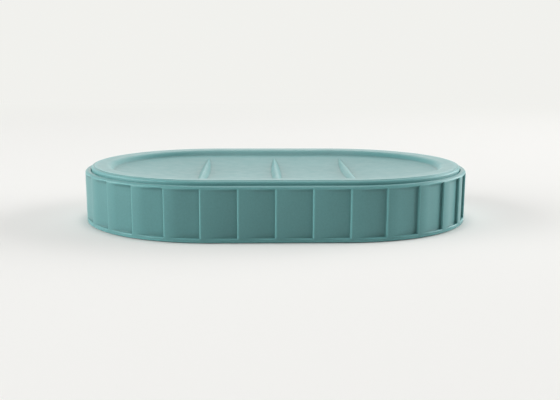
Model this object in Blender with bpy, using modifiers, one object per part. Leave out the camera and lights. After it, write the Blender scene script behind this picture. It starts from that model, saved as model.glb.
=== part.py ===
"""Soap dish: a fluted stadium shell that carries a lift-out tray with three soap ribs.

Metres, +Z up, +X along the dish. The origin is on the surface that the dish stands on,
under its middle. Every outline is a stadium: a straight spine with a half circle at each end.
"""

import math

import bmesh
import bpy
from mathutils import Vector

# Outside of the shell
DISH_LENGTH = 0.140
DISH_WIDTH = 0.0955
SHELL_HEIGHT = 0.0183
WALL_DRAFT = math.radians(0.5)
TOP_FILLET = 0.0010
FOOT_CHAMFER = 0.0003

# Inside of the shell
LIP_WIDTH = 0.0019
MOUTH_ROUND = 0.0003
SEAT_DEPTH = 0.0014
SEAT_WIDTH = 0.0026
SHELL_FLOOR = 0.0026

# Flutes: each panel is a flush strip and a flat that sinks to the next strip's riser
PANEL_COUNT = 32
PANEL_START_SHARE = 0.12
STRIP_SHARE = 0.21
PANEL_DEPTH = 0.0010
BASE_BAND = 0.0012
TOP_BAND = 0.0007

# Tray rim
SEAM_GAP = 0.0003
SEAT_GAP = 0.0003
RIM_RISE = 0.00165
BEAD_WIDTH = 0.0011
BEAD_STEP = 0.0002
BEAD_ROUND = 0.0008
RIM_WIDTH = 0.0060
RIM_FALL = 0.00035
RIM_ROUND = 0.0012
TRAY_THICKNESS = 0.0022

# Tray floor and ribs
RECESS_WALL = 0.0021
COVE_ROUND = 0.0006
FLOOR_SAG = 0.0021
RIB_COUNT = 3
RIB_SPACING = 0.0267
RIB_HEIGHT = 0.00175
RIB_CREST_WIDTH = 0.0011
RIB_FLANK = math.radians(54.0)
RIB_EMBED = 0.0004

# Anti-slip pads under the shell
PAD_DIAMETER = 0.0120
PAD_THICKNESS = 0.0014
PAD_PROUD = 0.0002
PAD_CLEARANCE = 0.0003
PAD_EDGE_MARGIN = 0.0060
PAD_ANGLE = math.radians(50.0)

# Smoothness of the round stretches, joining of their points, reach of every cutter past a face
END_STEPS = 18
FILLET_STEPS = 3
FLOOR_STEPS = 6
RIB_STEPS = 12
PAD_SEGMENTS = 32
MERGE_DISTANCE = 0.000001
OVERRUN = 0.0010

# Worked out from the sizes above
HALF_WIDTH = DISH_WIDTH / 2
SPINE_HALF = DISH_LENGTH / 2 - HALF_WIDTH
SHELL_BOTTOM = PAD_PROUD
SHELL_TOP = SHELL_BOTTOM + SHELL_HEIGHT
SEAT_LEVEL = SHELL_TOP - SEAT_DEPTH
TRAY_FOOT_LEVEL = SEAT_LEVEL + SEAT_GAP

TEAL = (0.165, 0.345, 0.335, 1.0)
PAD_GREY = (0.45, 0.47, 0.46, 1.0)


def clear_scene():
    for scene_object in list(bpy.data.objects):
        bpy.data.objects.remove(scene_object, do_unlink=True)


def make_collection(name):
    collection = bpy.data.collections.new(name)
    bpy.context.scene.collection.children.link(collection)
    return collection


def make_material(name, colour, roughness):
    material = bpy.data.materials.new(name)
    material.use_nodes = True
    surface = material.node_tree.nodes["Principled BSDF"]
    surface.inputs["Base Color"].default_value = colour
    surface.inputs["Roughness"].default_value = roughness
    surface.inputs["Metallic"].default_value = 0.0
    return material


def add_object(name, mesh, collection, material=None):
    added = bpy.data.objects.new(name, mesh)
    collection.objects.link(added)
    if material:
        mesh.materials.append(material)
    return added


def mesh_from(bm, name):
    mesh = bpy.data.meshes.new(name)
    bm.to_mesh(mesh)
    bm.free()
    return mesh


def mark_cutter(cutter):
    cutter.display_type = "WIRE"
    cutter.hide_render = True


def add_boolean(target, tool, operation):
    boolean = target.modifiers.new(operation.lower(), "BOOLEAN")
    boolean.operation = operation
    boolean.solver = "EXACT"
    boolean.object = tool


def arc(centre, radius, start, end, steps):
    """Points (reach, height) on a section's fillet, from one angle to another."""
    angles = [start + (end - start) * i / steps for i in range(steps + 1)]
    return [(centre[0] + radius * math.cos(q), centre[1] + radius * math.sin(q)) for q in angles]


def stadium_solid(name, section):
    """A body of one section all round: run along the spine, spun at its end, mirrored twice.

    The section's points are (distance from the spine, height), from the underside's middle
    round the outside to the top side's middle.
    """
    bm = bmesh.new()
    start = [bm.verts.new((0.0, reach, height)) for reach, height in section]
    edges = [bm.edges.new(pair) for pair in zip(start, start[1:])]
    run = bmesh.ops.extrude_edge_only(bm, edges=edges)["geom"]
    end_verts = [item for item in run if isinstance(item, bmesh.types.BMVert)]
    end_edges = [item for item in run if isinstance(item, bmesh.types.BMEdge)]
    bmesh.ops.translate(bm, verts=end_verts, vec=(SPINE_HALF, 0.0, 0.0))
    bmesh.ops.spin(bm, geom=end_verts + end_edges, cent=(SPINE_HALF, 0.0, 0.0), axis=(0.0, 0.0, 1.0),
                   angle=-math.pi / 2, steps=END_STEPS)
    bmesh.ops.remove_doubles(bm, verts=bm.verts, dist=MERGE_DISTANCE)
    bmesh.ops.recalc_face_normals(bm, faces=bm.faces)
    lowest = min(bm.faces, key=lambda face: face.calc_center_median().z)
    if lowest.normal.z > 0.0:
        bmesh.ops.reverse_faces(bm, faces=bm.faces)
    return mesh_from(bm, name)


def mirror_quarter(target):
    mirror = target.modifiers.new("mirror", "MIRROR")
    mirror.use_axis = (True, True, False)
    mirror.merge_threshold = MERGE_DISTANCE


def wall_inset(height):
    """How far the drafted outer wall has drawn in, at a height, from the outline at the top."""
    return (SHELL_TOP - height) * math.tan(WALL_DRAFT)


def outline_point(travelled):
    """Point and outward normal on the top outline, anticlockwise from the front's middle."""
    straight, bend = SPINE_HALF, math.pi * HALF_WIDTH
    travelled %= 4 * straight + 2 * bend
    if travelled < straight:
        return Vector((travelled, -HALF_WIDTH)), Vector((0.0, -1.0))
    if travelled < straight + bend:
        turn = (travelled - straight) / HALF_WIDTH - math.pi / 2
        normal = Vector((math.cos(turn), math.sin(turn)))
        return Vector((SPINE_HALF, 0.0)) + HALF_WIDTH * normal, normal
    if travelled < 3 * straight + bend:
        return Vector((2 * straight + bend - travelled, HALF_WIDTH)), Vector((0.0, 1.0))
    if travelled < 3 * straight + 2 * bend:
        turn = (travelled - 3 * straight - bend) / HALF_WIDTH + math.pi / 2
        normal = Vector((math.cos(turn), math.sin(turn)))
        return Vector((-SPINE_HALF, 0.0)) + HALF_WIDTH * normal, normal
    return Vector((travelled - 4 * straight - 2 * bend, -HALF_WIDTH)), Vector((0.0, -1.0))


def add_panel_wedge(bm, crease_at, riser_at):
    """The wedge that one sunk flat takes out of the wall, between the two bands."""
    crease, crease_normal = outline_point(crease_at)
    riser, riser_normal = outline_point(riser_at)
    corners = []
    for height in (SHELL_BOTTOM + BASE_BAND, SHELL_TOP - TOP_BAND):
        inset = wall_inset(height)
        plan = [crease - inset * crease_normal,
                riser - (inset + PANEL_DEPTH) * riser_normal,
                riser + OVERRUN * riser_normal,
                crease + OVERRUN * crease_normal]
        corners += [bm.verts.new((point.x, point.y, height)) for point in plan]
    bmesh.ops.convex_hull(bm, input=corners)


def make_panel_cutter(collection):
    outline_length = 4 * SPINE_HALF + 2 * math.pi * HALF_WIDTH
    pitch = outline_length / PANEL_COUNT
    bm = bmesh.new()
    for i in range(PANEL_COUNT):
        corner = (i - PANEL_START_SHARE) * pitch
        add_panel_wedge(bm, corner + STRIP_SHARE * pitch, corner + pitch)
    cutter = add_object("panel_cutter", mesh_from(bm, "panel_cutter"), collection)
    mark_cutter(cutter)
    return cutter


def pad_places():
    """Centres of the four pads, on the end circles, as far in from the wall as the margin says."""
    reach = HALF_WIDTH - wall_inset(SHELL_BOTTOM) - PAD_EDGE_MARGIN - PAD_DIAMETER / 2
    along = SPINE_HALF + reach * math.cos(PAD_ANGLE)
    across = reach * math.sin(PAD_ANGLE)
    return {"front_left": (-along, -across), "front_right": (along, -across),
            "back_left": (-along, across), "back_right": (along, across)}


def add_disc(bm, centre, diameter, low, high):
    made = bmesh.ops.create_cone(bm, cap_ends=True, segments=PAD_SEGMENTS, radius1=diameter / 2,
                                 radius2=diameter / 2, depth=high - low)
    bmesh.ops.translate(bm, verts=made["verts"], vec=(centre[0], centre[1], (low + high) / 2))


def make_socket_cutter(collection):
    socket_top = PAD_THICKNESS + PAD_CLEARANCE
    bm = bmesh.new()
    for place in pad_places().values():
        add_disc(bm, place, PAD_DIAMETER + 2 * PAD_CLEARANCE, SHELL_BOTTOM - OVERRUN, socket_top)
    cutter = add_object("socket_cutter", mesh_from(bm, "socket_cutter"), collection)
    mark_cutter(cutter)
    return cutter


def shell_section():
    foot = HALF_WIDTH - wall_inset(SHELL_BOTTOM)
    chamfer_top = SHELL_BOTTOM + FOOT_CHAMFER
    fillet_centre = (HALF_WIDTH - TOP_FILLET, SHELL_TOP - TOP_FILLET)
    mouth = HALF_WIDTH - LIP_WIDTH
    mouth_centre = (mouth + MOUTH_ROUND, SHELL_TOP - MOUTH_ROUND)
    cavity = mouth - SEAT_WIDTH
    floor_top = SHELL_BOTTOM + SHELL_FLOOR
    return [(0.0, SHELL_BOTTOM),
            (foot - FOOT_CHAMFER, SHELL_BOTTOM),
            (HALF_WIDTH - wall_inset(chamfer_top), chamfer_top),
            *arc(fillet_centre, TOP_FILLET, 0.0, math.pi / 2, FILLET_STEPS),
            *arc(mouth_centre, MOUTH_ROUND, math.pi / 2, math.pi, FILLET_STEPS),
            (mouth, SEAT_LEVEL),
            (cavity, SEAT_LEVEL),
            (cavity, floor_top),
            (0.0, floor_top)]


def make_shell(collection, cutters, material):
    shell = add_object("fluted_base", stadium_solid("fluted_base", shell_section()), collection, material)
    mirror_quarter(shell)
    add_boolean(shell, make_panel_cutter(cutters), "DIFFERENCE")
    add_boolean(shell, make_socket_cutter(cutters), "DIFFERENCE")
    return shell


class TraySizes:
    """Heights above the tray's foot and distances from the spine that several pieces share."""

    outside = HALF_WIDTH - LIP_WIDTH - SEAM_GAP
    crest = SHELL_TOP - TRAY_FOOT_LEVEL + RIM_RISE
    bead_inside = outside - BEAD_WIDTH
    rim_inside = bead_inside - RIM_WIDTH
    rim_edge = crest - RIM_FALL
    floor_edge = rim_edge - RECESS_WALL
    floor_reach = rim_inside - COVE_ROUND
    floor_middle = floor_edge - FLOOR_SAG


def floor_height(reach):
    """Height of the dished floor at a distance from the spine."""
    return TraySizes.floor_middle + FLOOR_SAG * (reach / TraySizes.floor_reach) ** 2


def tray_section():
    size = TraySizes
    bead_top = size.crest - BEAD_STEP
    bead_centre = (size.outside - BEAD_ROUND, bead_top - BEAD_ROUND)
    edge_centre = (size.rim_inside + RIM_ROUND, size.rim_edge - RIM_ROUND)
    cove_centre = (size.floor_reach, size.floor_edge + COVE_ROUND)
    floor_reaches = [size.floor_reach * i / FLOOR_STEPS for i in range(FLOOR_STEPS + 1)]
    underside = [(reach, floor_height(reach) - TRAY_THICKNESS) for reach in floor_reaches]
    bowl_outside = size.rim_inside + TRAY_THICKNESS
    floor = [(reach, floor_height(reach)) for reach in reversed(floor_reaches[:-1])]
    return [*underside,
            (bowl_outside, size.floor_edge - TRAY_THICKNESS),
            (bowl_outside, 0.0),
            (size.outside, 0.0),
            *arc(bead_centre, BEAD_ROUND, 0.0, math.pi / 2, FILLET_STEPS),
            (size.bead_inside, bead_top),
            (size.bead_inside, size.crest),
            *arc(edge_centre, RIM_ROUND, math.pi / 2, math.pi, FILLET_STEPS),
            *arc(cove_centre, COVE_ROUND, 0.0, -math.pi / 2, FILLET_STEPS),
            *floor]


def make_rib_stock(collection, along):
    """One rib's bar, level on top, with flanks down to just under the dished floor."""
    crest = TraySizes.floor_middle + RIB_HEIGHT
    sunk_share = (RIB_HEIGHT + RIB_EMBED / 2) / FLOOR_SAG
    half_length = TraySizes.floor_reach * math.sqrt(sunk_share)
    bm = bmesh.new()
    bmesh.ops.create_cube(bm, size=1.0)
    long_edges = [e for e in bm.edges if abs(e.verts[0].co.y - e.verts[1].co.y) > 0.5]
    bmesh.ops.subdivide_edges(bm, edges=long_edges, cuts=RIB_STEPS - 1, use_grid_fill=True)
    for vert in bm.verts:
        across = 2 * half_length * vert.co.y
        side = math.copysign(1.0, vert.co.x)
        height = crest if vert.co.z > 0.0 else floor_height(across) - RIB_EMBED
        half_width = RIB_CREST_WIDTH / 2 + (crest - height) / math.tan(RIB_FLANK)
        vert.co = (along + side * half_width, across, height)
    stock = add_object("rib_stock", mesh_from(bm, "rib_stock"), collection)
    mark_cutter(stock)
    return stock


def make_tray(collection, cutters, material):
    tray = add_object("soap_tray", stadium_solid("soap_tray", tray_section()), collection, material)
    mirror_quarter(tray)
    lift = bpy.data.objects.new("tray_lift", None)
    collection.objects.link(lift)
    lift.location.z = TRAY_FOOT_LEVEL
    tray.parent = lift
    for i in range(RIB_COUNT):
        stock = make_rib_stock(cutters, (i - (RIB_COUNT - 1) / 2) * RIB_SPACING)
        stock.parent = lift
        add_boolean(tray, stock, "UNION")
    return tray


def make_pads(collection, material):
    bm = bmesh.new()
    add_disc(bm, (0.0, 0.0), PAD_DIAMETER, 0.0, PAD_THICKNESS)
    mesh = mesh_from(bm, "foot_pad")
    mesh.materials.append(material)
    for side, place in pad_places().items():
        pad = add_object("foot_pad_" + side, mesh, collection)
        pad.location = (place[0], place[1], 0.0)


def smooth_rounds(collection):
    for shaded in collection.objects:
        if shaded.type == "MESH":
            shaded.data.shade_smooth()
            shaded.data.set_sharp_from_angle(angle=math.radians(30.0))


def main():
    clear_scene()
    dish = make_collection("soap_dish")
    cutters = make_collection("cutters")
    resin = make_material("teal_resin", TEAL, 0.55)
    foam = make_material("pad_foam", PAD_GREY, 0.9)
    make_shell(dish, cutters, resin)
    make_tray(dish, cutters, resin)
    make_pads(dish, foam)
    smooth_rounds(dish)


main()
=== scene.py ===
"""Soap dish for a wash basin: a fluted shell, a lift-out tray with three ribs, and foam foot pads.

Metres, +Z up, the ground at zero. Every outline is a stadium, a straight spine with a half circle
at each end. Reach is the distance from that spine. Travel is the way round the outline from the
front's middle, anticlockwise from above.
"""

import math

import bmesh
import bpy
import numpy as np
from bpy.props import FloatProperty, FloatVectorProperty, IntProperty, PointerProperty
from mathutils import Matrix, Vector


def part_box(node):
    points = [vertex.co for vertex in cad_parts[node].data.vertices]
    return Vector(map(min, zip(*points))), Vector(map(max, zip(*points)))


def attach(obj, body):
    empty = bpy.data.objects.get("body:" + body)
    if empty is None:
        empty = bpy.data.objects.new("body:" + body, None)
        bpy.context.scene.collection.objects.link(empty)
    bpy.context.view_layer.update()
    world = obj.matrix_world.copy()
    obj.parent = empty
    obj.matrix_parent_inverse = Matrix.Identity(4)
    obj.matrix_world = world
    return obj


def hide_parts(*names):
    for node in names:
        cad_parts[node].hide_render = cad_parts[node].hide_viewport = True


bl_info = {
    "name": "Soap Dish",
    "version": (1, 0, 0),
    "blender": (4, 5, 0),
    "location": "View3D > Sidebar > Soap Dish",
    "description": "Makes a fluted soap dish with a lift-out tray, its foot pads and its stage",
    "category": "Add Mesh",
}

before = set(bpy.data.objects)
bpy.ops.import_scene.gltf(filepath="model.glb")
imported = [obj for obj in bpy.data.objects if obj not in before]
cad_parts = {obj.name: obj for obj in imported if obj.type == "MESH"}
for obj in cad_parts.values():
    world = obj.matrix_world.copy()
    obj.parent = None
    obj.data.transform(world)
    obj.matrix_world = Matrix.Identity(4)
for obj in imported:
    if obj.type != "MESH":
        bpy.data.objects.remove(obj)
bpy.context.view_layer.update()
SHELL_LOW, SHELL_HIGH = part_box("fluted_base")
TRAY_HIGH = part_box("soap_tray")[1]
PAD_NODES = sorted(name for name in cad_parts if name.startswith("foot_pad"))

MERGE_DISTANCE = 0.000001
SHARP_ANGLE = math.radians(34.0)

# Steps of a pad's and a socket's full turn
TURN_STEPS = 64
# Flat rings of skin on the underside, so that it is shaded flat: how far in from the foot's edge,
# and how far out from a pad socket's edge
UNDERSIDE_RINGS = (0.0020, 0.0012)
COLLAR_RINGS = (0.0008, 0.0004)
# The foot band's rounded upper edge: height above the band, and how far the wall follows the flutes
BAND_EDGE = (
    (-0.00040, 0.0), (-0.00032, 0.01), (-0.00024, 0.04), (-0.00017, 0.09), (-0.00011, 0.16),
    (-0.00006, 0.25), (-0.00002, 0.36), (0.0, 0.5), (0.00001, 0.68), (0.00002, 0.86),
    (0.00004, 0.96), (0.00009, 1.0))
# Steps of the ring's round
RING_STEPS = 13
# Where the cove's round takes over from the tray's dished floor, in degrees
COVE_START = -84.0
# Cross lines of the tray's floor: round each end, along the straight part, over one rib, and the
# least room between a rib's lines and the others
END_LINES, STRAIGHT_LINES, RIB_LINES, LINE_ROOM = 45, 33, 41, 0.0003
# Steps along a cross line, on the floor and on its underside
FLOOR_STEPS, UNDER_STEPS = 96, 12
# Where the camera stands, its turns in degrees and the shift of its picture
CAMERA_PLACE = (-0.0083993, -0.3097876, 0.0609076)
CAMERA_SWING, CAMERA_DOWN, CAMERA_ROLL = -2.0208, 10.1164, 0.2222
CAMERA_SHIFT = (-0.005175, 0.000723)


# Sizes and colours

def length(name, description, default):
    return FloatProperty(name=name, description=description, default=default, min=0.0,
                         precision=5, subtype="DISTANCE", unit="LENGTH")


def share(name, description, default):
    return FloatProperty(name=name, description=description, default=default, min=0.0, max=1.0,
                         subtype="FACTOR")


def colour(name, description, default):
    return FloatVectorProperty(name=name, description=description, default=default, size=3,
                               min=0.0, max=1.0, subtype="COLOR")


class ShellSizes(bpy.types.PropertyGroup):
    """The fluted shell that stands on the basin"""

    dish_length: length("Length", "Over both round ends, at the top", SHELL_HIGH.x - SHELL_LOW.x)
    dish_width: length("Width", "Across the straight sides, at the top", SHELL_HIGH.y - SHELL_LOW.y)
    bottom: length("Bottom", "Height of the underside above the ground", SHELL_LOW.z)
    top: length("Top", "Height of the ring above the ground", SHELL_HIGH.z + 0.00012)
    draft: FloatProperty(name="Draft", description="How far the wall leans out towards the top",
                         default=math.radians(0.5), subtype="ANGLE", unit="ROTATION")
    foot_round: length("Foot round", "Radius at the foot of the wall", 0.0003)
    ring_width: length("Ring width", "How far the rounded ring reaches in over the top", 0.0010)
    ring_drop: length("Ring drop", "How far the rounded ring reaches down the wall", 0.0011)
    lip_width: length("Lip width", "From the outside to the mouth that holds the tray", 0.0020)
    mouth_round: length("Mouth round", "Radius at the inner edge of the lip", 0.00025)
    seat_level: length("Seat level", "Height of the ledge under the tray", SHELL_HIGH.z - 0.0014)
    seat_width: length("Seat width", "Width of the ledge under the tray", 0.0026)
    floor_level: length("Floor level", "Height of the floor inside the shell", SHELL_LOW.z + 0.0026)
    hollow_round: length("Hollow round", "Radius between the inner wall and the floor", 0.0009)


class FluteSizes(bpy.types.PropertyGroup):
    """The flutes round the shell's wall"""

    count: IntProperty(name="Flutes", description="Flutes round the whole wall", default=32, min=3)
    start: share("Start", "From the first flute's start to the front's middle, in flutes", 0.13)
    depth: length("Depth", "How far a flat has sunk where it meets the next riser", 0.0010)
    strip: share("Flush strip", "Part of a flute that lies flush with the bands", 0.10)
    crease: share("Crease", "Where the soft crease has its middle", 0.25)
    corner_round: length("Corner round", "Radius on a riser's outer edge", 0.00048)
    root_round: length("Root round", "Radius at a riser's foot", 0.00016)
    base_band: length("Foot band", "Height of the plain band at the foot", 0.00145)
    top_band: length("Top band", "Height of the plain band under the ring", 0.0006)
    top_blend: length("Top blend", "Height over which a flute runs out under the top band", 0.0010)


class TraySizes(bpy.types.PropertyGroup):
    """The lift-out tray"""

    seam: length("Seam", "Gap between the shell's mouth and the tray", 0.0002)
    foot_level: length("Foot level", "Height of the tray's seat face", SHELL_HIGH.z - 0.0011)
    crest: length("Crest", "Height of the rim's highest line", TRAY_HIGH.z)
    bead_width: length("Bead width", "Width of the bead outside the rim", 0.0011)
    bead_step: length("Bead step", "How far the bead lies below the rim", 0.00016)
    bead_round: length("Bead round", "Radius on the bead's outside", 0.0008)
    rim_width: length("Rim width", "From the bead to where the rim turns down", 0.0043)
    rim_fall: length("Rim fall", "How far the rim falls towards the recess", 0.00015)
    rim_round: length("Rim round", "Radius where the rim turns down into the recess", 0.0022)
    recess_wall: length("Recess wall", "From the rim's inner edge down to the floor's edge", 0.0020)
    recess_run: length("Recess run", "From the rim's inner edge in to the floor's edge", 0.00325)
    recess_slope: FloatProperty(name="Recess slope", description="Steepness of the recess's wall",
                                default=math.radians(50.0), subtype="ANGLE", unit="ROTATION")
    cove_round: length("Cove round", "Radius at the floor's edge", 0.0012)
    floor_sag: length("Floor sag", "How far the floor's middle lies below its edge", 0.0024)
    thickness: length("Thickness", "Thickness of the tray's bowl", 0.0022)


class RibSizes(bpy.types.PropertyGroup):
    """The ribs that keep the soap off the tray's floor"""

    count: IntProperty(name="Ribs", description="How many ribs cross the floor", default=3, min=1)
    spacing: length("Spacing", "From one rib's middle to the next", 0.0267)
    height: length("Height", "Height of the crest above the middle of the floor", 0.00175)
    crest_round: length("Crest round", "How full the rounded crest is", 0.0010)
    flank: FloatProperty(name="Flank", description="Steepness of a rib's sides",
                         default=math.radians(54.0), subtype="ANGLE", unit="ROTATION")
    foot_blend: length("Foot blend", "How softly a rib's side runs into the floor", 0.00018)


class PadSizes(bpy.types.PropertyGroup):
    """The anti-slip pads under the shell"""

    diameter: length("Diameter", "Diameter of a pad", 0.0120)
    thickness: length("Thickness", "Thickness of a pad", 0.0014)
    edge_round: length("Edge round", "Radius on a pad's lower edge", 0.00025)
    clearance: length("Clearance", "Gap between a pad and its socket", 0.0003)


class Finishes(bpy.types.PropertyGroup):
    """Colours of the dish"""

    resin: colour("Resin", "Colour of the moulded resin", (0.095, 0.246, 0.247))
    foam: colour("Foam", "Colour of the foot pads", (0.45, 0.47, 0.46))


class StageSettings(bpy.types.PropertyGroup):
    """Floor, lamps and camera"""

    floor: colour("Floor", "Colour of the floor under the dish", (0.86, 0.853, 0.835))
    backdrop: colour("Backdrop", "What camera and reflections see all round", (0.88, 0.88, 0.85))
    floor_radius: length("Floor radius", "How far the floor reaches", 3.0)
    near_floor: length("Near floor", "Where the floor starts to turn into the backdrop", 0.15)
    far_floor: length("Far floor", "Where the floor has turned into the backdrop", 0.75)
    floor_haze: share("Floor haze", "How much backdrop shows in the floor near the dish", 0.3)
    haze_run: length("Haze run", "From the dish's outline to where the haze is full", 0.004)
    lens: FloatProperty(name="Lens", description="Focal length on a 36 mm wide sensor",
                        default=53.7223, subtype="DISTANCE_CAMERA", unit="CAMERA")


# Numbers and trees for Geometry Nodes

class Field:
    """A number on its way through a node tree. Arithmetic on it adds the Math nodes."""

    def __init__(self, tree, socket):
        self.tree, self.socket = tree, socket

    def math(self, operation, *others):
        node = self.tree.nodes.new("ShaderNodeMath")
        node.operation = operation
        for place, value in zip(node.inputs, (self, *others)):
            feed(self.tree, value, place)
        return Field(self.tree, node.outputs[0])

    def __add__(self, other):
        return self.math("ADD", other)

    def __sub__(self, other):
        return self.math("SUBTRACT", other)

    def __mul__(self, other):
        return self.math("MULTIPLY", other)

    def __truediv__(self, other):
        return self.math("DIVIDE", other)

    def __rsub__(self, other):
        return self * -1.0 + other

    def clamp(self, low, high):
        return self.math("MAXIMUM", low).math("MINIMUM", high)


def feed(tree, value, place):
    """A field is linked to a socket, and anything else is written on it."""
    if isinstance(value, Field):
        tree.links.new(value.socket, place)
    else:
        place.default_value = value


def add_node(tree, kind, feeds=None, **settings):
    node = tree.nodes.new(kind)
    for setting, value in settings.items():
        setattr(node, setting, value)
    for socket, value in (feeds or {}).items():
        feed(tree, value, node.inputs[socket])
    return node


def read(tree, kind, output=0, feeds=None, **settings):
    """What one output of a new node gives."""
    return Field(tree, add_node(tree, kind, feeds, **settings).outputs[output])


def sockets(kind, *labels):
    return [(label, "NodeSocket" + kind) for label in labels]


def new_tree(name, inputs, outputs=(("Geometry", "NodeSocketGeometry"),)):
    """An empty node tree and its named inputs as fields."""
    tree = bpy.data.node_groups.new(name, "GeometryNodeTree")
    for label, kind in inputs:
        tree.interface.new_socket(label, in_out="INPUT", socket_type=kind)
    for label, kind in outputs:
        tree.interface.new_socket(label, in_out="OUTPUT", socket_type=kind)
    source = tree.nodes.new("NodeGroupInput")
    return tree, {label: Field(tree, source.outputs[label]) for label, kind in inputs}


def end_tree(tree, geometry, material):
    """Makes instances real, gives the material and hands the geometry out."""
    real = read(tree, "GeometryNodeRealizeInstances", feeds={"Geometry": geometry})
    dressed = read(tree, "GeometryNodeSetMaterial", feeds={"Geometry": real, "Material": material})
    add_node(tree, "NodeGroupOutput", feeds={0: dressed})
    lay_out(tree)


def lay_out(tree):
    """Puts the nodes in rows of twelve, in the order in which they were added."""
    for i, node in enumerate(tree.nodes):
        node.location = (200.0 * (i % 12), -260.0 * (i // 12))


def split(tree, vector):
    parts = add_node(tree, "ShaderNodeSeparateXYZ", {0: vector})
    return [Field(tree, output) for output in parts.outputs]


def position(tree, x, y, z):
    return read(tree, "ShaderNodeCombineXYZ", feeds={0: x, 1: y, 2: z})


def object_points(tree, line):
    """A drawn line's geometry and how many points it has."""
    geometry = read(tree, "GeometryNodeObjectInfo", "Geometry", {"Object": line})
    count = read(tree, "GeometryNodeAttributeDomainSize", "Point Count", {"Geometry": geometry})
    return geometry, count


def point_of(tree, geometry, index):
    """The three numbers that a drawn line's point holds."""
    place = read(tree, "GeometryNodeInputPosition")
    node = add_node(tree, "GeometryNodeSampleIndex", data_type="FLOAT_VECTOR", domain="POINT")
    for socket, value in (("Geometry", geometry), ("Value", place), ("Index", index)):
        feed(tree, value, node.inputs[socket])
    return split(tree, Field(tree, node.outputs[0]))


def grow(name, tree, source, values, lines=()):
    """The plain mesh, all in one finish, that a node tree makes of a source.

    The drawn lines go afterwards.
    """
    carrier = show(name + "_source", source)
    modifier = carrier.modifiers.new("grow", "NODES")
    modifier.node_group = tree
    for item in tree.interface.items_tree:
        if item.in_out == "INPUT" and item.name in values:
            modifier[item.identifier] = values[item.name]
    carrier.update_tag()
    depsgraph = bpy.context.evaluated_depsgraph_get()
    mesh = bpy.data.meshes.new_from_object(carrier.evaluated_get(depsgraph))
    carrier.modifiers.clear()
    for spent in (carrier, *lines):
        bpy.data.objects.remove(spent)
    if not mesh.polygons:
        raise RuntimeError(name + ": the node tree made no faces")
    mesh.name = name
    finish = next(material for material in mesh.materials if material)
    mesh.materials.clear()
    mesh.materials.append(finish)
    mesh.polygons.foreach_set("material_index", [0] * len(mesh.polygons))
    return mesh


# Meshes

def show(name, mesh):
    shown = bpy.data.objects.new(name, mesh)
    bpy.context.scene.collection.objects.link(shown)
    return shown


def mesh_from(bm, name):
    mesh = bpy.data.meshes.new(name)
    bm.to_mesh(mesh)
    bm.free()
    return mesh


def drawn_line(name, points):
    """A line whose points hold a table's rows, for a node tree to read."""
    mesh = bpy.data.meshes.new(name)
    mesh.from_pydata(points, [(i, i + 1) for i in range(len(points) - 1)], [])
    return show(name, mesh)


def arc(centre, radius, start, end, steps):
    """Points (reach, height) on a round, from one angle to another in degrees."""
    angles = [math.radians(start + (end - start) * i / steps) for i in range(steps + 1)]
    return [(centre[0] + radius * math.cos(q), centre[1] + radius * math.sin(q)) for q in angles]


def stadium(shell):
    """Half the spine's length and half the width of the dish's outline."""
    half_width = shell.dish_width / 2
    return shell.dish_length / 2 - half_width, half_width


def round_rings(bm, centre, profile):
    """Rings of points round a centre, one for each radius and height of a profile."""
    x, y = centre
    turns = [2 * math.pi * i / TURN_STEPS for i in range(TURN_STEPS)]
    return [[bm.verts.new((x + r * math.cos(q), y + r * math.sin(q), z)) for q in turns]
            for r, z in profile]


def join_rings(bm, rings):
    """Faces from each ring of points to the following one, point to point."""
    for ring, following in zip(rings, rings[1:]):
        for i in range(len(ring)):
            j = (i + 1) % len(ring)
            bm.faces.new((ring[i], ring[j], following[j], following[i]))


def smooth(mesh):
    mesh.shade_smooth()
    mesh.set_sharp_from_angle(angle=SHARP_ANGLE)


def turn_outwards(bm, name):
    """Checks that a skin is closed and points all its faces outwards."""
    loose = sum(1 for edge in bm.edges if len(edge.link_faces) != 2)
    if loose:
        raise RuntimeError(f"{name}: {loose} edges don't join two faces")
    bmesh.ops.recalc_face_normals(bm, faces=bm.faces)
    if bm.calc_volume(signed=True) < 0.0:
        bmesh.ops.reverse_faces(bm, faces=bm.faces)


def mark_turns(mesh):
    """Stores each point's turn: 0.5 where the skin is flat, more on edges, less in corners."""
    count = len(mesh.vertices)
    places, normals = np.empty(count * 3, np.float32), np.empty(count * 3, np.float32)
    mesh.vertices.foreach_get("co", places)
    mesh.vertices.foreach_get("normal", normals)
    ends = np.empty(len(mesh.edges) * 2, np.int32)
    mesh.edges.foreach_get("vertices", ends)
    places, normals, (a, b) = places.reshape(-1, 3), normals.reshape(-1, 3), ends.reshape(-1, 2).T
    ways = places[b] - places[a]
    ways /= np.maximum(np.linalg.norm(ways, axis=1), 1e-9)[:, None]
    links = np.bincount(ends, minlength=count)
    pull = np.zeros((count, 3))
    np.add.at(pull, a, ways)
    np.add.at(pull, b, -ways)
    turn = np.arccos(np.clip((normals * pull).sum(axis=1) / links, -1.0, 1.0)) / math.pi
    around = np.bincount(a, turn[b], count) + np.bincount(b, turn[a], count)
    evened = ((turn + around) / (links + 1)).astype(np.float32)
    mesh.attributes.new("turn", "FLOAT", "POINT").data.foreach_set("value", evened)


def hand_over(name, mesh, body, nodes):
    """The finished piece rides on its body and stands for its CAD nodes."""
    smooth(mesh)
    mark_turns(mesh)
    piece = show(name, mesh)
    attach(piece, body)
    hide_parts(*nodes)


# Fluted shell

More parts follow.
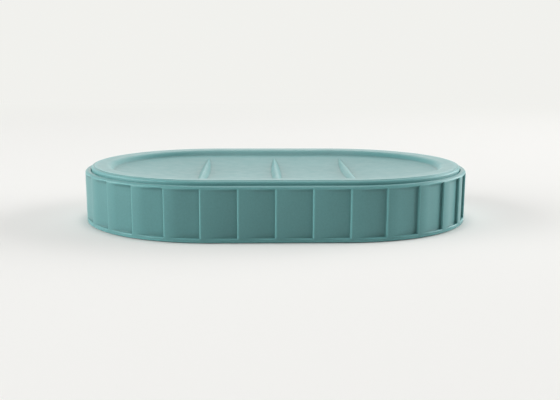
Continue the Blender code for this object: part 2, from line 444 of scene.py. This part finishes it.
def outline_group():
    """Where the outline is at a travel: the spine's x and the way outwards."""
    tree, given = new_tree("dish_outline", sockets("Float", "Travel", "Spine Half", "Half Width"),
                           sockets("Float", "Spine X", "Out X", "Out Y"))
    half = given["Spine Half"]
    bend = given["Half Width"] * math.pi
    travel = given["Travel"].math("FLOORED_MODULO", half * 4.0 + bend * 2.0)
    to_right = travel.clamp(0.0, half)
    over_back = (travel - half - bend).clamp(0.0, half * 2.0)
    to_middle = (travel - half * 3.0 - bend * 2.0).math("MAXIMUM", 0.0)
    bent = (travel - half).clamp(0.0, bend) + (travel - half * 3.0 - bend).clamp(0.0, bend)
    turn = bent / given["Half Width"] - math.pi / 2
    add_node(tree, "NodeGroupOutput", {0: to_right - over_back + to_middle,
                                       1: turn.math("COSINE"), 2: turn.math("SINE")})
    lay_out(tree)
    return tree


def shell_tree():
    """Sweeps the wall's section round the outline, flute by flute.

    A section point holds how far it follows the flutes, its inset from the top outline and its
    height. A flute plan point holds its share of the flute and how much further in it lies.
    """
    tree, given = new_tree("fluted_shell", [
        *sockets("Object", "Section", "Flute Plan"), *sockets("Int", "Flutes"),
        *sockets("Float", "Start", "Depth", "Strip", "Crease", "Spine Half", "Half Width",
                 "Merge Distance"), *sockets("Material", "Material")])
    group = outline_group()
    half, half_width = given["Spine Half"], given["Half Width"]
    section, rows = object_points(tree, given["Section"])
    plan, steps = object_points(tree, given["Flute Plan"])
    grid = read(tree, "GeometryNodeMeshGrid", "Mesh",
                {"Vertices X": given["Flutes"] * steps + 1.0, "Vertices Y": rows})
    index = read(tree, "GeometryNodeInputIndex")
    column = (index / rows).math("FLOOR")
    flute = (column / steps).math("FLOOR")
    follows, inset, height = point_of(tree, section, index.math("FLOORED_MODULO", rows))
    along, further, _ = point_of(tree, plan, column.math("FLOORED_MODULO", steps))
    pitch = (half * 4.0 + half_width * (2 * math.pi)) / given["Flutes"]

    def outline(part, sunk=None):
        node = add_node(tree, "GeometryNodeGroup", node_tree=group)
        for socket, value in (("Travel", (flute - given["Start"] + part) * pitch),
                              ("Spine Half", half), ("Half Width", half_width)):
            feed(tree, value, node.inputs[socket])
        spine, out_x, out_y = [Field(tree, output) for output in node.outputs]
        reach = half_width - inset if sunk is None else half_width - inset - sunk
        return (spine + reach * out_x, reach * out_y), (out_x, out_y)

    flush, out = outline(along)
    strip_side, _ = outline(along.math("MINIMUM", given["Strip"]))
    corner, _ = outline(given["Crease"])
    riser, _ = outline(1.0, given["Depth"])
    crease_end = given["Crease"] * 2.0 - given["Strip"]
    bend = ((along - given["Strip"]) / (crease_end - given["Strip"])).clamp(0.0, 1.0)
    unbent = 1.0 - bend
    flat_share = 1.0 - given["Crease"]
    first = (crease_end - given["Crease"]) / flat_share
    rest = (along - crease_end).math("MAXIMUM", 0.0) / flat_share

    def sunk_line(i):
        bent_end = corner[i] + (riser[i] - corner[i]) * first
        curve = (unbent * unbent * strip_side[i] + unbent * bend * 2.0 * corner[i]
                 + bend * bend * bent_end)
        return curve + (riser[i] - corner[i]) * rest - out[i] * further

    placed = [flush[i] * (1.0 - follows) + sunk_line(i) * follows for i in (0, 1)]
    moved = read(tree, "GeometryNodeSetPosition",
                 feeds={"Geometry": grid, "Position": position(tree, placed[0], placed[1], height)})
    merged = read(tree, "GeometryNodeMergeByDistance",
                  feeds={"Geometry": moved, "Distance": given["Merge Distance"]})
    end_tree(tree, merged, given["Material"])
    return tree


def flute_plan(flutes, pitch):
    """One flute from its riser's root over the strip and the crease to the next riser's root."""
    depth, corner, root = flutes.depth, flutes.corner_round, flutes.root_round
    riser = [(0.0, depth - root - (depth - root - corner) * i / 3) for i in (1, 2)]
    edge = [(corner - x, corner - y) for x, y in arc((0.0, 0.0), corner, 0.0, 90.0, 7)]
    strip_end, crease_end = flutes.strip * pitch, (2 * flutes.crease - flutes.strip) * pitch
    strip = [(corner + (strip_end - corner) * i / 3, 0.0) for i in (1, 2, 3)]
    crease = [(strip_end + (crease_end - strip_end) * i / 9, 0.0) for i in range(1, 10)]
    flat_end = pitch - root
    flat = [(crease_end + (flat_end - crease_end) * part, 0.0)
            for part in (0.2, 0.4, 0.6, 0.8, 0.94, 1.0)]
    root_arc = [(flat_end + root * math.sin(q), -root * (1 - math.cos(q)))
                for q in map(math.radians, (30, 60, 90))]
    points = riser + edge + strip + crease + flat + root_arc
    return [(travelled / pitch, inwards, 0.0) for travelled, inwards in points]


def shell_section(shell, flutes):
    """The wall's section from the underside round the outside, ring and seat to the floor."""
    half_width = stadium(shell)[1]

    def skin(height):
        """Inset of the outside at a height: the draft, and near the top the ring's rounding."""
        lean = (shell.top - height) * math.tan(shell.draft)
        up = max(height - (shell.top - shell.ring_drop), 0.0) / shell.ring_drop
        return lean + shell.ring_width * (1.0 - math.sqrt(max(1.0 - up * up, 0.0)))

    def wall(height, follows=0.0):
        return (follows, skin(height), height)

    def rounded(points):
        return [(0.0, half_width - reach, height) for reach, height in points]

    foot_reach = half_width - skin(shell.bottom)
    cap_reach = half_width - shell.lip_width - shell.seat_width - 2 * shell.hollow_round
    foot = arc((foot_reach - shell.foot_round, shell.bottom + shell.foot_round), shell.foot_round,
               -90.0, 0.0, 4)
    band_top = shell.bottom + flutes.base_band
    panel_top = shell.top - flutes.top_band
    blend = flutes.top_blend
    band_edge = [wall(band_top + up, follows) for up, follows in BAND_EDGE]
    panel_low, panel_high = band_top + BAND_EDGE[-1][0], panel_top - blend
    panel = [wall(panel_low + (panel_high - panel_low) * part, 1.0)
             for part in (0.03, 0.12, 0.3, 0.5, 0.7, 0.88, 0.97, 1.0)]
    run_out = [wall(panel_high + blend * part, 0.5 + 0.5 * math.cos(math.pi * part))
               for part in (0.12, 0.25, 0.37, 0.5, 0.63, 0.75, 0.88, 1.0)]
    reached = math.asin((panel_top - shell.top + shell.ring_drop) / shell.ring_drop)
    to_come = math.pi / 2 - reached
    ring = [wall(shell.top - shell.ring_drop * (1.0 - math.sin(reached + to_come * i / RING_STEPS)))
            for i in range(1, RING_STEPS + 1)]
    mouth = half_width - shell.lip_width
    lip = arc((mouth + shell.mouth_round, shell.top - shell.mouth_round), shell.mouth_round,
              90.0, 180.0, 12)
    cavity = mouth - shell.seat_width
    small = shell.mouth_round / 2
    seat = [(mouth, shell.seat_level + small),
            *arc((mouth - small, shell.seat_level + small), small, 0.0, -90.0, 3)[1:],
            *arc((cavity + small, shell.seat_level - small), small, 90.0, 180.0, 3)]
    hollow = arc((cavity - shell.hollow_round, shell.floor_level + shell.hollow_round),
                 shell.hollow_round, 0.0, -90.0, 5)
    return [*rounded([*((foot_reach - inset, shell.bottom) for inset in UNDERSIDE_RINGS),
                      (foot_reach - 2 * shell.foot_round, shell.bottom), *foot]),
            wall(shell.bottom + 2 * shell.foot_round), *band_edge, *panel, *run_out, *ring,
            *rounded([((half_width - shell.ring_width + mouth + shell.mouth_round) / 2, shell.top),
                      *lip, *seat, (cavity, (shell.seat_level + shell.floor_level) / 2), *hollow,
                      (cap_reach, shell.floor_level)])]


def pad_places():
    """Middles of the four pads, from their CAD nodes."""
    boxes = [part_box(name) for name in PAD_NODES]
    return [((low.x + high.x) / 2, (low.y + high.y) / 2) for low, high in boxes]


def add_socket(bm, place, level, pads):
    """A round blind socket in a narrow flat collar at a level. Gives the collar's outer edges."""
    radius, top = pads.diameter / 2 + pads.clearance, pads.thickness + pads.clearance
    rings = round_rings(bm, place, [
        *((radius + wider, level) for wider in COLLAR_RINGS), (radius, level),
        (radius, top - pads.clearance / 2), (radius - pads.clearance / 2, top)])
    join_rings(bm, rings)
    bm.faces.new(rings[-1])
    return [bm.edges.get((vert, rings[0][i - 1])) for i, vert in enumerate(rings[0])]


def cap_shell(mesh, shell, pads):
    """Closes the shell's floor and its underside, which has the round pad sockets in it."""
    bm = bmesh.new()
    bm.from_mesh(mesh)
    bmesh.ops.dissolve_degenerate(bm, edges=bm.edges, dist=MERGE_DISTANCE / 2)
    middle = (shell.bottom + shell.floor_level) / 2
    rims = [edge for edge in bm.edges if len(edge.link_faces) == 1]
    bmesh.ops.edgeloop_fill(bm, edges=[edge for edge in rims if edge.verts[0].co.z > middle])
    rims = [edge for edge in rims if edge.verts[0].co.z < middle]
    for place in pad_places():
        rims += add_socket(bm, place, shell.bottom, pads)
    bmesh.ops.triangle_fill(bm, edges=rims, use_beauty=True, normal=(0.0, 0.0, -1.0))
    turn_outwards(bm, "fluted_shell")
    bm.to_mesh(mesh)
    bm.free()


class SOAPDISH_OT_fluted_shell(bpy.types.Operator):
    """Makes the fluted shell, with its foot band, ring, tray seat and pad sockets"""

    bl_idname = "soap_dish.fluted_shell"
    bl_label = "Fluted Shell"

    def execute(self, context):
        shell, flutes = context.scene.dish_shell, context.scene.dish_flutes
        spine_half, half_width = stadium(shell)
        pitch = (4 * spine_half + 2 * math.pi * half_width) / flutes.count
        section = drawn_line("shell_section", shell_section(shell, flutes))
        plan = drawn_line("flute_plan", flute_plan(flutes, pitch))
        mesh = grow("fluted_shell", shell_tree(), bpy.data.meshes.new("empty"), {
            "Section": section, "Flute Plan": plan, "Flutes": flutes.count, "Start": flutes.start,
            "Depth": flutes.depth, "Strip": flutes.strip, "Crease": flutes.crease,
            "Spine Half": spine_half, "Half Width": half_width, "Merge Distance": MERGE_DISTANCE,
            "Material": resin("shell_resin")}, (section, plan))
        cap_shell(mesh, shell, context.scene.dish_pads)
        hand_over("fluted_shell", mesh, "base", ["fluted_base"])
        return {"FINISHED"}


# Tray

def relief_tree():
    """Dishes the tray's floor and lets the ribs rise from it.

    Points whose dished attribute is 1 lie on the floor or on its underside, and those whose
    ribbed attribute is 1 carry the ribs too.
    """
    tree, given = new_tree("ribbed_floor", [
        *sockets("Geometry", "Geometry"), *sockets("Int", "Ribs"),
        *sockets("Float", "Spacing", "Rib Height", "Crest Round", "Flank", "Foot Blend",
                 "Floor Sag", "Floor Reach", "Spine Half"), *sockets("Material", "Material")])
    x, y, _ = split(tree, read(tree, "GeometryNodeInputPosition"))
    past_spine = (x.math("ABSOLUTE") - given["Spine Half"]).math("MAXIMUM", 0.0)
    reach = (past_spine * past_spine + y * y).math("SQRT") / given["Floor Reach"]
    dish = given["Floor Sag"] * reach * reach
    outermost = given["Spacing"] * (given["Ribs"] - 1.0) / 2.0
    nearest = ((x + outermost) / given["Spacing"]).math("ROUND").clamp(0.0, given["Ribs"] - 1.0)
    aside = (x + outermost - nearest * given["Spacing"]) * given["Flank"].math("TANGENT")
    crest = given["Crest Round"]
    ridge = given["Rib Height"] + crest - (aside * aside + crest * crest).math("SQRT")
    above = ridge - dish
    blend = given["Foot Blend"]
    half = (above / blend * 0.5 + 0.5).clamp(0.0, 1.0)
    rise = above * half + blend * half * (1.0 - half)
    dished, ribbed = [
        read(tree, "GeometryNodeInputNamedAttribute", data_type="FLOAT", feeds={"Name": name})
        for name in ("dished", "ribbed")]
    lift = dish * dished + rise * ribbed
    moved = read(tree, "GeometryNodeSetPosition",
                 feeds={"Geometry": given["Geometry"], "Offset": position(tree, 0.0, 0.0, lift)})
    end_tree(tree, moved, given["Material"])
    return tree


def tray_columns(spine_half, floor_reach, ribs):
    """Where the floor's cross lines stand: close together over the ribs, wider elsewhere."""
    ends = [spine_half + floor_reach * math.cos(math.radians(q))
            for q in np.linspace(2.0, 90.0, END_LINES)]
    xs = {round(side * x, 7) for x in ends for side in (-1, 1)}
    xs |= {round(x, 7) for x in np.linspace(-spine_half, spine_half, STRAIGHT_LINES)}
    rib_half = (ribs.height + ribs.crest_round) / math.tan(ribs.flank) + ribs.foot_blend
    for i in range(ribs.count):
        middle = (i - (ribs.count - 1) / 2) * ribs.spacing
        xs = {x for x in xs if abs(x - middle) > rib_half + LINE_ROOM}
        xs |= {round(middle + x, 7) for x in np.linspace(-rib_half, rib_half, RIB_LINES)}
    return sorted(xs)


def tray_section(tray, outside):
    """The tray's section from the floor's edge over rim and bead round to the bowl's underside."""
    bead_inside = outside - tray.bead_width
    rim_inside = bead_inside - tray.rim_width
    rim_edge = tray.crest - tray.rim_fall
    floor_edge = rim_edge - tray.recess_wall
    floor_reach = rim_inside - tray.recess_run
    bead_top = tray.crest - tray.bead_step
    bowl_outside = floor_reach + tray.thickness + tray.cove_round
    bowl_round = tray.thickness / 2
    small = tray.bead_step / 2
    slope = math.degrees(tray.recess_slope)
    fall = math.degrees(math.atan(tray.rim_fall / tray.rim_width))
    cove = arc((floor_reach, floor_edge + tray.cove_round), tray.cove_round,
               COVE_START, slope - 90.0, 6)
    turn = arc((rim_inside, rim_edge - tray.rim_round), tray.rim_round,
               90.0 + slope, 90.0 + fall, 12)
    wall = [tuple(low + (high - low) * part for low, high in zip(cove[-1], turn[0]))
            for part in (0.2, 0.5, 0.8)]
    rim = [(rim_inside + (bead_inside - small - rim_inside) * part, rim_edge + tray.rim_fall * part)
           for part in (0.08, 0.35, 0.65, 0.92, 1.0)]
    step = [(bead_inside, tray.crest - small), (bead_inside + small / 4, bead_top + small / 3),
            (bead_inside + small, bead_top)]
    bead = arc((outside - tray.bead_round, bead_top - tray.bead_round), tray.bead_round,
               90.0, 0.0, 9)
    foot_round = small * 1.5
    foot = [(outside, tray.foot_level + 3 * foot_round),
            *arc((outside - foot_round, tray.foot_level + foot_round), foot_round, 0.0, -90.0, 3)]
    bowl = [(bowl_outside + 2 * foot_round, tray.foot_level),
            *arc((bowl_outside + foot_round, tray.foot_level - foot_round), foot_round,
                 90.0, 180.0, 3),
            (bowl_outside, floor_edge - tray.thickness + bowl_round),
            *arc((bowl_outside - bowl_round, floor_edge - tray.thickness + bowl_round), bowl_round,
                 0.0, -90.0, 5)[1:]]
    return floor_reach, floor_edge, cove + wall + turn + rim + step + bead + foot + bowl


def tray_mesh(tray, ribs, spine_half, outside):
    """A floor and an underside of cross lines, joined round the outside by the section.

    The outline's points are the cross lines' ends, so that everything meets point to point.
    """
    floor_reach, floor_edge, section = tray_section(tray, outside)
    columns = tray_columns(spine_half, floor_reach, ribs)
    tip = spine_half + floor_reach
    bm = bmesh.new()
    dished = bm.verts.layers.float.new("dished")
    ribbed = bm.verts.layers.float.new("ribbed")

    def sheet(height, steps, carries_ribs):
        """One sheet of cross lines and its outline, anticlockwise from the left tip."""
        lines = []
        for x in columns:
            past = max(abs(x) - spine_half, 0.0)
            half = math.sqrt(max(floor_reach ** 2 - past ** 2, 0.0))
            ys = [half * (2 * i / steps - 1) for i in range(steps + 1)]
            lines.append([bm.verts.new((x, y, height)) for y in ys])
        tips = [bm.verts.new((side * tip, 0.0, height)) for side in (-1, 1)]
        for line, other in zip(lines, lines[1:]):
            for a, b, c, d in zip(line, other, other[1:], line[1:]):
                bm.faces.new((a, b, c, d))
        for a, b in zip(lines[0], lines[0][1:]):
            bm.faces.new((tips[0], a, b))
        for a, b in zip(lines[-1], lines[-1][1:]):
            bm.faces.new((a, tips[1], b))
        for vert in [*tips, *(v for line in lines for v in line)]:
            vert[dished] = 1.0
            vert[ribbed] = carries_ribs
        return [tips[0], *(line[0] for line in lines),
                tips[1], *(line[-1] for line in reversed(lines))]

    top = sheet(floor_edge - tray.floor_sag, FLOOR_STEPS, 1.0)
    under = sheet(floor_edge - tray.floor_sag - tray.thickness, UNDER_STEPS, 0.0)
    loops = [top]
    for reach, height in section:
        ring = []
        for vert in top:
            spine = max(-spine_half, min(spine_half, vert.co.x))
            out = Vector((vert.co.x - spine, vert.co.y)).normalized()
            ring.append(bm.verts.new((spine + reach * out.x, reach * out.y, height)))
        loops.append(ring)
    join_rings(bm, [*loops, under])
    turn_outwards(bm, "soap_tray")
    return mesh_from(bm, "soap_tray_body"), floor_reach


class SOAPDISH_OT_soap_tray(bpy.types.Operator):
    """Makes the tray, with its bead, rim, dished floor and ribs in one skin"""

    bl_idname = "soap_dish.soap_tray"
    bl_label = "Soap Tray"

    def execute(self, context):
        tray, ribs = context.scene.dish_tray, context.scene.dish_ribs
        shell = context.scene.dish_shell
        spine_half, half_width = stadium(shell)
        outside = half_width - shell.lip_width - tray.seam
        body, floor_reach = tray_mesh(tray, ribs, spine_half, outside)
        mesh = grow("lift_out_tray", relief_tree(), body, {
            "Ribs": ribs.count, "Spacing": ribs.spacing, "Rib Height": ribs.height,
            "Crest Round": ribs.crest_round, "Flank": ribs.flank, "Foot Blend": ribs.foot_blend,
            "Floor Sag": tray.floor_sag, "Floor Reach": floor_reach, "Spine Half": spine_half,
            "Material": resin("tray_resin")})
        hand_over("lift_out_tray", mesh, "tray", ["soap_tray"])
        return {"FINISHED"}


# Foot pads

def pad_tree():
    """Sets one pad on each of the given points."""
    tree, given = new_tree("foot_pads", [
        *sockets("Geometry", "Geometry"), *sockets("Object", "Pad"),
        *sockets("Material", "Material")])
    pad = read(tree, "GeometryNodeObjectInfo", "Geometry", {"Object": given["Pad"]})
    places = read(tree, "GeometryNodeMeshToPoints", feeds={"Mesh": given["Geometry"]})
    placed = read(tree, "GeometryNodeInstanceOnPoints", feeds={"Points": places, "Instance": pad})
    end_tree(tree, placed, given["Material"])
    return tree


def pad_mesh(pads):
    """One pad: a disc with a rounded lower edge."""
    radius, soft = pads.diameter / 2, pads.edge_round
    profile = [(radius * part, 0.0) for part in (0.35, 0.7)]
    profile += arc((radius - soft, soft), soft, -90.0, 0.0, 5)
    profile += [(radius, pads.thickness - soft / 2), (radius - soft / 4, pads.thickness),
                (radius * 0.6, pads.thickness)]
    bm = bmesh.new()
    low, high = bm.verts.new((0.0, 0.0, 0.0)), bm.verts.new((0.0, 0.0, pads.thickness))
    rings = round_rings(bm, (0.0, 0.0), profile)
    join_rings(bm, rings)
    for i in range(TURN_STEPS):
        bm.faces.new((low, rings[0][i], rings[0][i - 1]))
        bm.faces.new((high, rings[-1][i - 1], rings[-1][i]))
    turn_outwards(bm, "foot_pad")
    return mesh_from(bm, "foot_pad")


class SOAPDISH_OT_foot_pads(bpy.types.Operator):
    """Makes the four foam pads in their sockets"""

    bl_idname = "soap_dish.foot_pads"
    bl_label = "Foot Pads"

    def execute(self, context):
        places = bpy.data.meshes.new("pad_places")
        places.from_pydata([(x, y, 0.0) for x, y in pad_places()], [], [])
        pad = show("foot_pad_pattern", pad_mesh(context.scene.dish_pads))
        mesh = grow("foam_pads", pad_tree(), places, {"Pad": pad, "Material": foam()}, (pad,))
        hand_over("foam_pads", mesh, "base", PAD_NODES)
        return {"FINISHED"}


# Finishes

def new_material(name, base, roughness):
    """A material, its tree and its surface shader."""
    material = bpy.data.materials.new(name)
    material.use_nodes = True
    tree = material.node_tree
    surface = tree.nodes["Principled BSDF"]
    surface.inputs["Base Color"].default_value = (*base, 1.0)
    surface.inputs["Roughness"].default_value = roughness
    return material, tree, surface


def noise(tree, coordinates, scale, detail):
    node = add_node(tree, "ShaderNodeTexNoise", {"Scale": scale, "Detail": detail})
    tree.links.new(coordinates, node.inputs["Vector"])
    return node.outputs["Fac"]


def mapped(tree, value, from_low, from_high, low, high):
    """Maps one range of numbers to another and cuts off what lies outside."""
    node = add_node(tree, "ShaderNodeMapRange", {"From Min": from_low, "From Max": from_high,
                                                 "To Min": low, "To Max": high})
    tree.links.new(value, node.inputs["Value"])
    return node.outputs["Result"]


def spread(tree, value, low, high):
    """Maps a noise's usual range, 0.3 to 0.7, to a range of numbers."""
    return mapped(tree, value, 0.3, 0.7, low, high)


def product(tree, value, other):
    node = add_node(tree, "ShaderNodeMath", operation="MULTIPLY")
    for source, place in zip((value, other), node.inputs):
        tree.links.new(source, place)
    return node.outputs[0]


def tinted(tree, base, value):
    """The base colour made lighter or darker by a number around 1."""
    node = add_node(tree, "ShaderNodeVectorMath", {0: base}, operation="SCALE")
    tree.links.new(value, node.inputs["Scale"])
    return node.outputs["Vector"]


def add_bump(tree, surface, height, strength, distance):
    bump = add_node(tree, "ShaderNodeBump", {"Strength": strength, "Distance": distance})
    tree.links.new(height, bump.inputs["Height"])
    tree.links.new(bump.outputs["Normal"], surface.inputs["Normal"])


def resin(name):
    """Satin moulded resin: fine grain, faint clouds, painted shade in corners, painted highlight
    and wear on edges.
    """
    base = tuple(bpy.context.scene.dish_finishes.resin)
    material, tree, surface = new_material(name, base, 0.3)
    place = tree.nodes.new("ShaderNodeTexCoord").outputs["Object"]
    cloud = spread(tree, noise(tree, place, scale=55.0, detail=3.0), 0.97, 1.03)
    grain = spread(tree, noise(tree, place, scale=1700.0, detail=2.0), 0.965, 1.035)
    turn = add_node(tree, "ShaderNodeAttribute", attribute_name="turn").outputs["Fac"]
    # Painted shade darkens corners, creases and roots; convex edges are lightened, partly as
    # painted highlight and partly as wear.
    painted_shade_highlight_and_wear = mapped(tree, turn, from_low=0.488, from_high=0.518, low=0.90, high=1.42)
    tone = product(tree, product(tree, cloud, grain), painted_shade_highlight_and_wear)
    tree.links.new(tinted(tree, base, tone), surface.inputs["Base Color"])
    satin = spread(tree, noise(tree, place, scale=260.0, detail=4.0), 0.33, 0.39)
    tree.links.new(satin, surface.inputs["Roughness"])
    surface.inputs["Specular IOR Level"].default_value = 0.37
    pits = noise(tree, place, scale=2600.0, detail=2.0)
    add_bump(tree, surface, pits, strength=0.2, distance=0.00001)
    return material


def foam():
    """Foam: pores in the skin and a dry, dull surface."""
    base = tuple(bpy.context.scene.dish_finishes.foam)
    material, tree, surface = new_material("pad_foam", base, 0.9)
    place = tree.nodes.new("ShaderNodeTexCoord").outputs["Object"]
    cells = add_node(tree, "ShaderNodeTexVoronoi", {"Scale": 2600.0})
    tree.links.new(place, cells.inputs["Vector"])
    tone = spread(tree, noise(tree, place, scale=900.0, detail=3.0), 0.88, 1.08)
    tree.links.new(tinted(tree, base, tone), surface.inputs["Base Color"])
    dry = spread(tree, noise(tree, place, scale=1200.0, detail=2.0), 0.82, 0.96)
    tree.links.new(dry, surface.inputs["Roughness"])
    surface.inputs["Specular IOR Level"].default_value = 0.3
    add_bump(tree, surface, cells.outputs["Distance"], strength=0.6, distance=0.0001)
    return material


# Stage

LAMPS = {
    # name: (place, width, height, power in watts, mirrored by the satin skin)
    "lamp_above": ((0.0, -0.04, 1.1), 0.55, 0.55, 3.7, True),
    "lamp_behind": ((0.18, 1.045, 1.06), 1.2, 1.2, 5.3, True),
    "lamp_low_behind": ((0.0, 1.485, 0.21), 1.2, 0.4, 0.9, True),
    "lamp_right": ((1.349, 0.464, 0.464), 1.4, 0.9, 15.5, True),
    "fill_right": ((1.413, 0.199, 0.464), 1.4, 0.9, 13.0, False),
    "lamp_left": ((-1.409, -0.223, 0.464), 1.4, 0.9, 13.5, True),
    "fill_left": ((-1.341, -0.488, 0.464), 1.4, 0.9, 13.0, False),
}


def add_lamp(name, place, width, height, power, mirrored):
    """A soft box that looks at the dish, seen or unseen in its reflections."""
    lamp = bpy.data.lights.new(name, "AREA")
    lamp.shape, lamp.size, lamp.size_y, lamp.energy = "RECTANGLE", width, height, power
    holder = bpy.data.objects.new(name, lamp)
    bpy.context.scene.collection.objects.link(holder)
    holder.visible_glossy = mirrored
    holder.location = place
    holder.rotation_euler = (-Vector(place)).to_track_quat("-Z", "Y").to_euler()


def seen_directly(tree):
    """1 for what the camera or a reflection sees, 0 for what lights the dish."""
    ray = tree.nodes.new("ShaderNodeLightPath")
    seen = add_node(tree, "ShaderNodeMath", operation="MAXIMUM")
    tree.links.new(ray.outputs["Is Camera Ray"], seen.inputs[0])
    tree.links.new(ray.outputs["Is Glossy Ray"], seen.inputs[1])
    return seen.outputs[0]


def make_world(stage):
    """The backdrop's colour all round, for the camera and the reflections. It lights nothing."""
    world = bpy.data.worlds.new("studio")
    bpy.context.scene.world = world
    world.use_nodes = True
    backdrop = world.node_tree.nodes["Background"]
    backdrop.inputs["Color"].default_value = (*stage.backdrop, 1.0)
    world.node_tree.links.new(seen_directly(world.node_tree), backdrop.inputs["Strength"])


def make_floor(stage):
    """A round floor for the dish's shadow, hazy off the dish and all backdrop far out."""
    spine_half, half_width = stadium(bpy.context.scene.dish_shell)
    bm = bmesh.new()
    bmesh.ops.create_circle(bm, cap_ends=True, segments=128, radius=stage.floor_radius)
    mesh = mesh_from(bm, "floor")
    material, tree, surface = new_material("floor", tuple(stage.floor), 0.9)
    surface.inputs["Specular IOR Level"].default_value = 0.0
    away = tree.nodes.new("ShaderNodeTexCoord").outputs["Object"]
    for operation, other in (("ABSOLUTE", 0.0), ("SUBTRACT", spine_half), ("MAXIMUM", 0.0),
                             ("LENGTH", 0.0)):
        step = add_node(tree, "ShaderNodeVectorMath", {1: (other, 0.0, 0.0)}, operation=operation)
        tree.links.new(away, step.inputs[0])
        away = step.outputs["Value" if operation == "LENGTH" else "Vector"]
    haze = add_node(tree, "ShaderNodeMapRange", {
        "From Min": half_width, "From Max": half_width + stage.haze_run,
        "To Max": stage.floor_haze}, interpolation_type="SMOOTHSTEP")
    far = add_node(tree, "ShaderNodeMapRange", {
        "From Min": stage.near_floor, "From Max": stage.far_floor}, interpolation_type="SMOOTHSTEP")
    tree.links.new(away, haze.inputs["Value"])
    tree.links.new(away, far.inputs["Value"])
    tree.links.new(haze.outputs["Result"], far.inputs["To Min"])
    part = product(tree, far.outputs["Result"], seen_directly(tree))
    backdrop = add_node(tree, "ShaderNodeEmission", {"Color": (*stage.backdrop, 1.0)})
    mix = tree.nodes.new("ShaderNodeMixShader")
    for source, socket in zip((part, surface.outputs[0], backdrop.outputs[0]), mix.inputs):
        tree.links.new(source, socket)
    tree.links.new(mix.outputs[0], tree.nodes["Material Output"].inputs["Surface"])
    mesh.materials.append(material)
    show("floor", mesh)


def make_camera(stage):
    camera = bpy.data.cameras.new("camera")
    camera.lens, camera.sensor_width = stage.lens, 36.0
    camera.clip_start = 0.01
    camera.shift_x, camera.shift_y = CAMERA_SHIFT
    holder = bpy.data.objects.new("camera", camera)
    bpy.context.scene.collection.objects.link(holder)
    holder.matrix_world = (Matrix.Translation(CAMERA_PLACE)
                           @ Matrix.Rotation(math.radians(CAMERA_SWING), 4, "Z")
                           @ Matrix.Rotation(math.radians(90.0 - CAMERA_DOWN), 4, "X")
                           @ Matrix.Rotation(math.radians(CAMERA_ROLL), 4, "Z"))
    bpy.context.scene.camera = holder


class SOAPDISH_OT_stage(bpy.types.Operator):
    """Makes the floor, the lamps, the world and the camera"""

    bl_idname = "soap_dish.stage"
    bl_label = "Stage"

    def execute(self, context):
        stage = context.scene.dish_stage
        context.scene.view_settings.view_transform = "Standard"
        make_floor(stage)
        make_world(stage)
        for name, settings in LAMPS.items():
            add_lamp(name, *settings)
        make_camera(stage)
        return {"FINISHED"}


# Panel and registration

OPERATORS = (SOAPDISH_OT_fluted_shell, SOAPDISH_OT_soap_tray, SOAPDISH_OT_foot_pads,
             SOAPDISH_OT_stage)
SETTINGS = {"dish_shell": ShellSizes, "dish_flutes": FluteSizes, "dish_tray": TraySizes,
            "dish_ribs": RibSizes, "dish_pads": PadSizes, "dish_finishes": Finishes,
            "dish_stage": StageSettings}


class SOAPDISH_PT_panel(bpy.types.Panel):
    """Lists the pieces of the dish and their sizes"""

    bl_label = "Soap Dish"
    bl_idname = "SOAPDISH_PT_panel"
    bl_space_type = "VIEW_3D"
    bl_region_type = "UI"
    bl_category = "Soap Dish"

    def draw(self, context):
        for operator in OPERATORS:
            self.layout.operator(operator.bl_idname)
        for attribute, group in SETTINGS.items():
            box = self.layout.box()
            box.label(text=group.__doc__)
            for setting in group.__annotations__:
                box.prop(getattr(context.scene, attribute), setting)


def register():
    for group in SETTINGS.values():
        bpy.utils.register_class(group)
    for attribute, group in SETTINGS.items():
        setattr(bpy.types.Scene, attribute, PointerProperty(type=group))
    for shown in (*OPERATORS, SOAPDISH_PT_panel):
        bpy.utils.register_class(shown)


def unregister():
    for shown in (SOAPDISH_PT_panel, *OPERATORS):
        bpy.utils.unregister_class(shown)
    for attribute, group in SETTINGS.items():
        delattr(bpy.types.Scene, attribute)
        bpy.utils.unregister_class(group)


def main():
    register()
    bpy.ops.soap_dish.fluted_shell()
    bpy.ops.soap_dish.soap_tray()
    bpy.ops.soap_dish.foot_pads()
    bpy.ops.soap_dish.stage()


if __name__ == "__main__":
    main()
